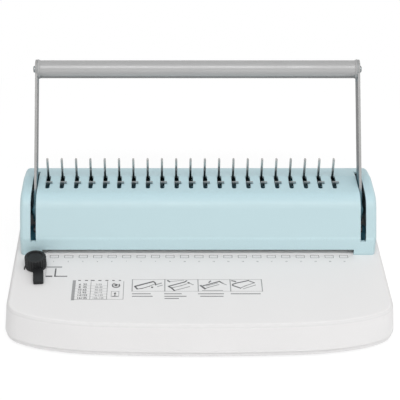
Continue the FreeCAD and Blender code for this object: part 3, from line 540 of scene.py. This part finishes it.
def print_hole_marks(ink, pale):
    """A small box before each hole of the comb, and under it the hole's number."""
    left, right = -3.2, 5.0
    low, high = -2.3, 2.0
    number_row = -8.4
    for i in range(HOLES):
        x = PITCH * (i - (HOLES - 1) / 2)
        ink.outline(x + left, x + right, low, high, 0.38)
        pale.number(i + 1, x + (left + right) / 2, number_row, size=2.2)


def print_edge_marks(ink, pale):
    """Where the sheet's corner lies, and the arrow and scale of the edge guide."""
    corner_x, corner_y = -138.9, -32.6
    ink.stroke([(corner_x, -20.6), (corner_x, corner_y), (-127.6, corner_y)], 1.4)
    ink.stroke([(-146.7, corner_y), (-142.4, corner_y)], 2.0)
    ink.arc(-157.8, -18.8, 11.8, 166, 194, 1.1)
    pale.stroke([(-148.6, -13.0), (-147.9, -33.0)], 0.4)
    pale.stroke([(-147.0, -17.6), (-134.0, -17.6)], 2.0)


def print_size_table(ink, pale):
    """Numbers in rows under seven headings, which are plain dashes, and two small drawings."""
    left, first, second, right = -119.4, -103.4, -87.6, -72.1
    top, bottom = -39.3, -68.6
    pale.stroke([(left - 0.2, top - 1.2), (left - 0.2, bottom)], 3.0)
    headings = ((-115.3, -114.1), (-108.8, -107.2), (-103.2, -100.8), (-96.0, -94.3),
                (-89.2, -87.6), (-82.6, -81.6), (-76.3, -75.6))
    for x0, x1 in headings:
        ink.stroke([(x0, top), (x1, top)], 1.3)
    pale.stroke([(left, bottom), (right, bottom)], 0.5)
    for x in (first, second):
        ink.stroke([(x, top - 1.5), (x, bottom)], 0.4)
    pale.stroke([(right, top - 1.5), (right, bottom)], 0.6)
    print_size_rows(ink, pale, left, first, second)
    draw_ring_icon(pale, -79.4, -47.0)
    draw_sheet_icon(ink, pale, -79.9, -60.6)


def print_size_rows(ink, pale, left, first, second):
    """In each row the ring's size, the most sheets that it holds, and from how many it is used."""
    top_row, row_step, rule_drop = -45.7, 4.22, 2.1
    ring_column, most_column, span_column = -113.9, -109.0, -95.8
    most_by_ring = {6: 25, 8: 45, 10: 65, 12: 95, 14: 125, 16: 145}
    fewest = 2
    for row, (ring, most) in enumerate(most_by_ring.items()):
        y = top_row - row * row_step
        rule = y - rule_drop
        pale.stroke([(left, rule), (first, rule)], 0.2)
        ink.number(ring, ring_column, y, size=3.9)
        ink.number(most, most_column, y, size=3.9)
        pale.stroke([(first, rule), (second, rule)], 0.3)
        pale.number(f"{fewest}-{most}", span_column, y, size=3.2)
        fewest = most + 1


def draw_ring_icon(pale, x, y):
    """A comb ring seen from its end, round a hole."""
    pale.arc(x, y, 3.5, 110, 395, 0.9, steps=20)
    pale.arc(x, y + 0.4, 0.8, 0, 360, 1.0)
    pale.arc(x, y, 2.2, 0, 360, 0.4)


def draw_sheet_icon(ink, pale, x, y):
    """A stack of sheets with its rings."""
    pale.outline(x - 3.6, x + 3.6, y - 4.1, y + 4.1, 0.5)
    pale.arc(x, y + 1.2, 0.6, 0, 360, 0.8)
    ink.stroke([(x, y - 0.4), (x, y - 2.8)], 0.8)
    ink.stroke([(x - 2.4, y - 3.3), (x + 2.4, y - 3.3)], 0.8)


def print_steps(ink, pale):
    """Four small drawings of the machine in use, each over plain caption rules."""
    edges = (-63.9, -32.8, -1.0, 29.8, 59.9)
    top, bottom = -37.9, -56.2
    for y in (bottom, top):
        pale.stroke([(edges[0], y), (edges[-1], y)], 0.45)
    for x in edges:
        pale.stroke([(x, top), (x, bottom)], 1.0)
    for draw, x in zip((draw_insert, draw_punch, draw_open_comb, draw_bind), edges):
        draw(ink, pale, x)
    rules_by_line = {
        -60.2: ((-63.4, -46.7), (-32.9, -17.4), (-0.9, 22.6), (30.1, 57.3)),
        -64.0: ((-63.3, -44.8), (-32.7, -12.9), (1.1, 22.0)),
        -67.4: ((-32.5, -20.0),),
    }
    for y, rules in rules_by_line.items():
        for x0, x1 in rules:
            ink.stroke([(x0, y), (x1, y)], 1.05)


def draw_insert(ink, pale, x):
    """The sheets go into the throat."""
    ink.stroke([(x + 2.9, -48.5), (x + 19.1, -41.4)], 1.8)
    ink.stroke([(x + 2.8, -49.2), (x + 4.8, -52.6)], 1.6)
    ink.stroke([(x + 4.8, -52.8), (x + 9.5, -51.8), (x + 16.3, -48.5)], 1.0)
    pale.stroke([(x + 16.3, -48.5), (x + 20.4, -45.5)], 1.1)
    ink.arc(x + 19.0, -50.0, 0.5, 0, 360, 0.9)
    ink.stroke([(x + 20.2, -41.0), (x + 21.9, -43.4), (x + 22.3, -46.2)], 1.4)
    pale.stroke([(x + 22.3, -46.2), (x + 27.5, -43.6)], 1.5)
    pale.stroke([(x + 24.2, -48.8), (x + 28.6, -46.8)], 1.1)


def draw_punch(ink, pale, x):
    """The lever comes down."""
    ink.stroke([(x + 2.9, -39.7), (x + 4.6, -41.2)], 1.6)
    pale.stroke([(x + 4.6, -41.2), (x + 18.0, -38.9)], 0.75)
    ink.stroke([(x + 3.6, -48.5), (x + 18.7, -41.9), (x + 20.9, -39.9)], 1.4)
    ink.arc(x + 22.7, -43.1, 0.5, 0, 360, 1.0)
    pale.stroke([(x + 22.7, -43.1), (x + 27.0, -46.0)], 1.1)
    ink.stroke([(x + 4.4, -49.5), (x + 6.4, -51.0), (x + 9.0, -55.2)], 1.5)
    pale.stroke([(x + 9.0, -55.2), (x + 23.5, -49.0)], 1.1)
    pale.stroke([(x + 6.4, -51.0), (x + 15.5, -47.6), (x + 20.9, -44.8)], 1.1)


def draw_open_comb(ink, pale, x):
    """The comb lies over the fingers and the hooks pull it open."""
    ink.stroke([(x + 2.6, -47.6), (x + 6.3, -52.2)], 2.0)
    ink.stroke([(x + 4.9, -47.6), (x + 20.5, -40.8), (x + 23.2, -43.4)], 1.4)
    ink.stroke([(x + 10.7, -42.2), (x + 11.9, -40.4)], 1.5)
    pale.stroke([(x + 6.3, -52.2), (x + 9.6, -50.3), (x + 19.8, -45.8)], 1.1)
    pale.stroke([(x + 8.0, -48.0), (x + 18.6, -43.4)], 0.94)
    pale.stroke([(x + 23.2, -43.4), (x + 26.8, -46.2)], 1.1)
    pale.stroke([(x + 3.9, -55.0), (x + 22.9, -55.0)], 0.94)


def draw_bind(ink, pale, x):
    """The punched sheets drop over the open rings."""
    ink.stroke([(x + 2.2, -45.5), (x + 5.4, -43.6), (x + 17.5, -39.5)], 1.4)
    ink.stroke([(x + 17.5, -39.5), (x + 23.1, -43.0)], 1.1)
    ink.stroke([(x + 2.0, -39.8), (x + 5.0, -40.8)], 1.6)
    ink.stroke([(x + 2.2, -47.2), (x + 9.4, -51.4)], 1.5)
    pale.stroke([(x + 9.4, -51.4), (x + 14.0, -48.0), (x + 23.1, -43.0)], 1.1)
    pale.stroke([(x + 12.0, -52.5), (x + 24.0, -46.5)], 0.94)


def make_table_print():
    ink = Print("table_print", INK, height=0.03)
    pale = Print("table_print_pale", PALE_INK, height=0.02)
    print_hole_marks(ink, pale)
    print_edge_marks(ink, pale)
    print_size_table(ink, pale)
    print_steps(ink, pale)
    ink.finish()
    pale.finish()


# Return springs

def make_spring(node):
    """A coil of wire in the place of the plain spring, with its foot where that one stands."""
    low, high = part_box(node)
    center = (low + high) / 2
    length = high.z - low.z
    wire = 0.6 * MM
    radius = (high.x - low.x) / 2 - wire
    turns = 5
    steps_per_turn = 28
    steps = steps_per_turn * turns
    curve = bpy.data.curves.new(node + "_wire", "CURVE")
    curve.dimensions = "3D"
    curve.bevel_depth = wire
    curve.bevel_resolution = 4
    curve.use_fill_caps = True
    line = curve.splines.new("POLY")
    line.points.add(steps)
    for i, point in enumerate(line.points):
        share = i / steps
        turn = 2 * math.pi * turns * share
        height = low.z + wire + (length - 2 * wire) * share
        point.co = (center.x + radius * math.cos(turn), center.y + radius * math.sin(turn), height, 1.0)
    mesh = mesh_from(curve)
    for face in mesh.polygons:
        face.use_smooth = True
    piece = add_piece(node + "_wire", mesh, SPRING_STEEL)
    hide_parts(node)
    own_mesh(piece)


# Studio

def make_floor():
    """Pale floor that turns to plain white away from the machine and keeps its shadow."""
    bpy.ops.mesh.primitive_plane_add(size=FLOOR_SIZE, location=(0, 0, -FLOOR_DROP))
    floor = bpy.context.object
    floor.name = "floor"
    look = Surface("floor_white", FLOOR_PALE, 0.9)
    shadowed = look.node("BsdfDiffuse", sockets={"Color": FLOOR_SHADOWED}).outputs["BSDF"]
    glow = look.node("Emission", sockets={"Color": PLAIN_WHITE, "Strength": FLOOR_GLOW})
    near = look.node("AddShader", shadowed, glow.outputs["Emission"]).outputs["Shader"]
    far = look.node("Emission", sockets={"Color": PLAIN_WHITE}).outputs["Emission"]
    distance = look.node("VectorMath", look.place, operation="LENGTH").outputs["Value"]
    away = look.rising(distance, FLOOR_NEAR, FLOOR_FAR)
    seen = look.node("MixShader", away, near, far).outputs["Shader"]
    unseen = look.shader.outputs["BSDF"]
    both = look.node("MixShader", seen_by_eye(look.tree), unseen, seen).outputs["Shader"]
    look.link(both, look.tree.nodes["Material Output"].inputs["Surface"])
    floor.data.materials.append(look.material)


def make_world():
    """Soft light from all round, which itself looks plain white."""
    world = bpy.data.worlds.new("studio")
    bpy.context.scene.world = world
    world.use_nodes = True
    tree = world.node_tree
    tree.nodes.clear()
    soft = add_node(tree, "Background", sockets={"Color": PLAIN_WHITE, "Strength": WORLD_LIGHT})
    white = add_node(tree, "Background", sockets={"Color": PLAIN_WHITE})
    both = (soft.outputs["Background"], white.outputs["Background"])
    mix = add_node(tree, "MixShader", seen_by_eye(tree), *both)
    add_node(tree, "OutputWorld", mix.outputs["Shader"])


def make_lamp(name, place, width, height, power):
    data = bpy.data.lights.new(name, "AREA")
    data.shape = "RECTANGLE"
    data.size = width
    data.size_y = height
    data.energy = power
    lamp = add_object(name, data)
    lamp.location = place
    aim = Vector(LAMP_TARGET) - Vector(place)
    lamp.rotation_euler = aim.to_track_quat("-Z", "Y").to_euler()


def make_camera():
    data = bpy.data.cameras.new("camera")
    data.angle = CAMERA_ANGLE
    data.shift_x = CAMERA_SHIFT
    data.clip_start = 0.01
    data.clip_end = 50.0
    camera = add_object("camera", data)
    camera.location = CAMERA_PLACE
    camera.rotation_euler = (math.pi / 2 - CAMERA_DOWN, 0, 0)
    bpy.context.scene.camera = camera


def main():
    bpy.context.scene.view_settings.view_transform = "Standard"
    make_camera()
    dress_cad_nodes()
    make_table_print()
    for node in ("punch_spring_left", "punch_spring_right"):
        make_spring(node)
    make_floor()
    make_world()
    for name, lamp in LAMPS.items():
        make_lamp(name, *lamp)


main()
